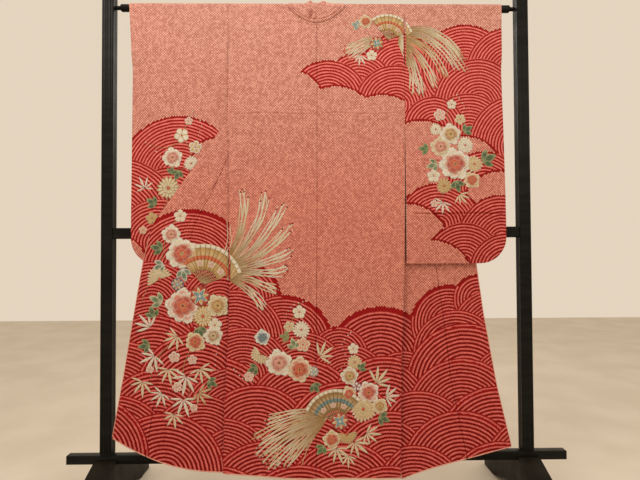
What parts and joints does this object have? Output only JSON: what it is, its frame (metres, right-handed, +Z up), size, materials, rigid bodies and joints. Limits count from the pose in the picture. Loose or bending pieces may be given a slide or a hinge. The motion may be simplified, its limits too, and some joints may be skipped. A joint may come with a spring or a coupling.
{
  "type": "furisode on a kimono stand",
  "caption": "Long-sleeved formal kimono hung open on a rod in a two-post stand, its back to the viewer, hem and fronts spread.",
  "frame": {"origin": "centre of the stand's footprint, on the floor", "axes": "+Z up, -Y the side that the garment's back faces, +X to the right seen from there"},
  "size_m": [1.7, 0.62, 1.79],
  "materials": {
    "silk": "matt crepe",
    "lining": "plain silk",
    "thread": "satin embroidery thread",
    "stand_black": "satin black",
    "stand_feet": "dark grey"
  },
  "bodies": {
    "root": {"left_back": "silk", "left_front": "silk", "left_okumi": "silk", "left_collar": "silk", "left_sleeve_back": "silk", "left_sleeve_front": "silk", "right_back": "silk", "right_front": "silk", "right_okumi": "silk", "right_collar": "silk", "right_sleeve_back": "silk", "right_sleeve_front": "silk", "neck_collar": "silk", "rod": "stand_black", "middle_bar": "stand_black", "low_bar": "stand_black", "left_post": "stand_black", "right_post": "stand_black", "left_foot": "stand_feet", "right_foot": "stand_feet"}
  },
  "joints": []
}
